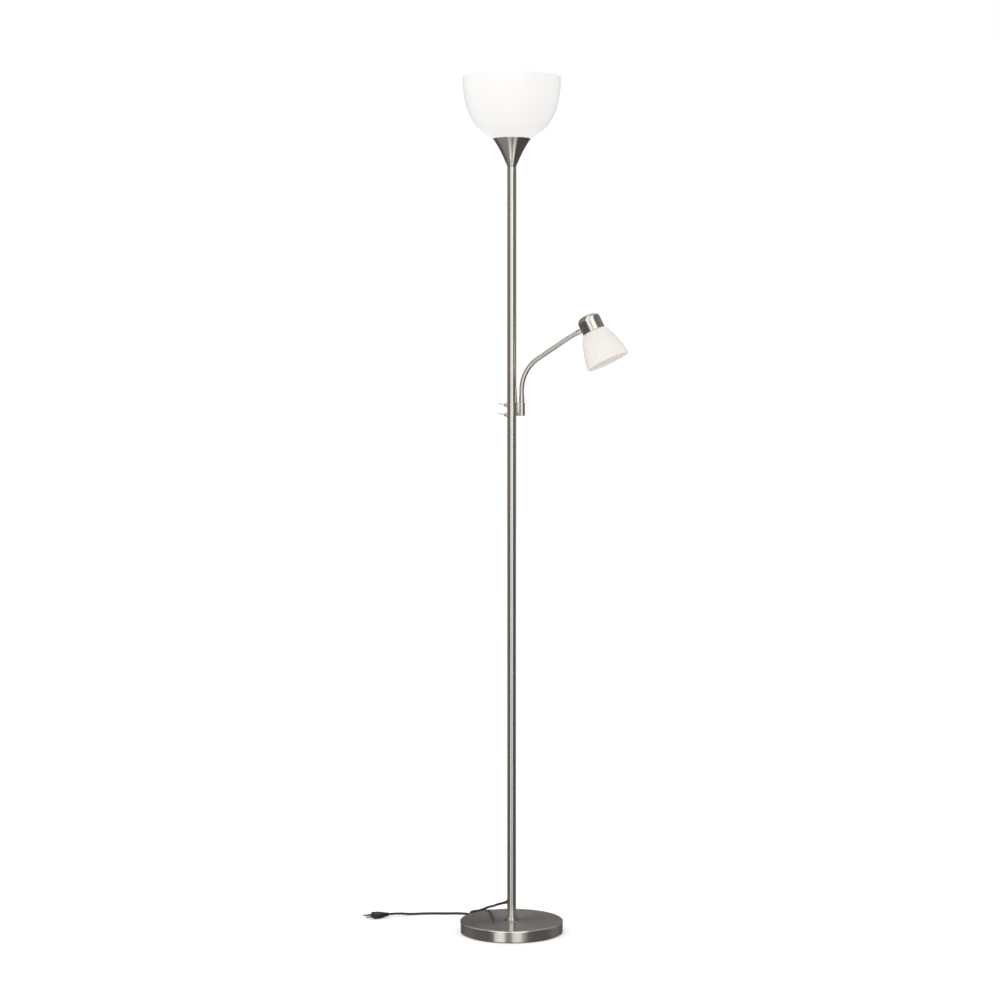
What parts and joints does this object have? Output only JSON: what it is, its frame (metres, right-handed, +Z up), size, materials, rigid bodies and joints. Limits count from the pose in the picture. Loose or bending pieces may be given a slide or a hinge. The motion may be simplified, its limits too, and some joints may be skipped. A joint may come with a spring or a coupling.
{
  "type": "torchiere floor lamp with reading light",
  "caption": "Floor lamp: round weighted base, slim three-piece pole, white glass bowl on a flared cap, and a small bell-shaded reading light on a flexible neck.",
  "frame": {"origin": "floor, centre of the round base, on the felt's underside", "axes": "+Z up along the pole, -Y towards the front, the reading light towards +X, the switches towards -X"},
  "size_m": [0.564, 0.2744, 1.7995],
  "materials": {
    "polished_steel": "polished nickel-plated steel",
    "brushed_base": "dark circular-brushed steel",
    "opal_glass": "opal white glass, smooth",
    "bulb_glass": "frosted white",
    "holder_plastic": "matt white",
    "cast_weight": "rough cast",
    "zinc_steel": "zinc plated",
    "felt": "pressed felt",
    "black_plastic": "moulded black plastic",
    "black_cord": "smooth flexible sheath",
    "pins": "plated brass",
    "wires": "insulated wire"
  },
  "bodies": {
    "stand": {"base_cover": "brushed_base", "base_plate": "zinc_steel", "base_weight": "cast_weight", "bowl_bulb": "bulb_glass", "bowl_cap": "polished_steel", "bowl_cap_nut": "zinc_steel", "bowl_lampholder": "holder_plastic", "bowl_nipple": "zinc_steel", "bowl_shade": "opal_glass", "bowl_shade_ring": "holder_plastic", "bowl_wires": "wires", "bracket_nipple": "zinc_steel", "bracket_nut": "zinc_steel", "cord_hank": "black_cord", "cord_plug_stretch": "black_cord", "cord_pole_stretch": "black_cord", "cord_relief": "black_cord", "cord_tie": "black_plastic", "felt_pad": "felt", "foot_collar": "polished_steel", "foot_nipple": "zinc_steel", "foot_nut": "zinc_steel", "foot_plug": "zinc_steel", "foot_washer": "zinc_steel", "lower_coupler": "zinc_steel", "lower_pole": "polished_steel", "lower_switch": "black_plastic", "middle_pole": "polished_steel", "neck_bracket": "polished_steel", "plug_body": "black_plastic", "plug_pins": "pins", "socket_cap": "polished_steel", "supply_wires": "wires", "switch_nuts": "polished_steel", "top_coupler": "zinc_steel", "upper_coupler": "zinc_steel", "upper_pole": "polished_steel", "upper_switch": "black_plastic"},
    "neck_1": {"neck_base": "polished_steel", "neck_washer": "zinc_steel", "neck_nut": "zinc_steel", "neck_segment_1": "polished_steel"},
    "neck_2": {"neck_segment_2": "polished_steel"},
    "neck_3": {"neck_segment_3": "polished_steel"},
    "neck_4": {"neck_segment_4": "polished_steel"},
    "neck_5": {"neck_segment_5": "polished_steel"},
    "head": {"neck_segment_6": "polished_steel", "neck_end": "polished_steel", "neck_end_nut": "zinc_steel", "head_cup": "polished_steel", "reading_lampholder": "holder_plastic", "reading_shade": "opal_glass", "reading_shade_ring": "holder_plastic", "reading_bulb": "bulb_glass"},
    "upper_lever": {"upper_lever": "polished_steel"},
    "lower_lever": {"lower_lever": "polished_steel"}
  },
  "joints": [
    {"name": "neck_swivel", "type": "hinge", "parent": "stand", "child": "neck_1", "pos_m": [0.0209, 0, 1.1215], "axis": [0, 0, 1], "range_deg": [-95, 130]},
    {"name": "neck_bend_1", "type": "hinge", "parent": "neck_1", "child": "neck_2", "pos_m": [0.02296, -0.00068, 1.16578], "axis": [0.3148, 0.9492, 0], "range_deg": [-12, 12]},
    {"name": "neck_bend_2", "type": "hinge", "parent": "neck_2", "child": "neck_3", "pos_m": [0.03572, -0.00492, 1.19432], "axis": [0.3148, 0.9492, 0], "range_deg": [-12, 12]},
    {"name": "neck_bend_3", "type": "hinge", "parent": "neck_3", "child": "neck_4", "pos_m": [0.0581, -0.01234, 1.21529], "axis": [0.3148, 0.9492, 0], "range_deg": [-12, 12]},
    {"name": "neck_bend_4", "type": "hinge", "parent": "neck_4", "child": "neck_5", "pos_m": [0.08344, -0.02074, 1.23249], "axis": [0.3148, 0.9492, 0], "range_deg": [-12, 12]},
    {"name": "neck_bend_5", "type": "hinge", "parent": "neck_5", "child": "head", "pos_m": [0.10877, -0.02915, 1.24969], "axis": [0.3148, 0.9492, 0], "range_deg": [-12, 12]},
    {"name": "upper_toggle", "type": "hinge", "parent": "stand", "child": "upper_lever", "pos_m": [-0.0136, 0, 1.116], "axis": [0, 1, 0], "range_deg": [-28, 0]},
    {"name": "lower_toggle", "type": "hinge", "parent": "stand", "child": "lower_lever", "pos_m": [-0.0136, 0, 1.0955], "axis": [0, 1, 0], "range_deg": [-28, 0]}
  ],
  "couplings": [
    {"joint": "neck_bend_2", "follows": "neck_bend_1", "ratio": 1},
    {"joint": "neck_bend_3", "follows": "neck_bend_1", "ratio": 1},
    {"joint": "neck_bend_4", "follows": "neck_bend_1", "ratio": 1},
    {"joint": "neck_bend_5", "follows": "neck_bend_1", "ratio": 1}
  ]
}
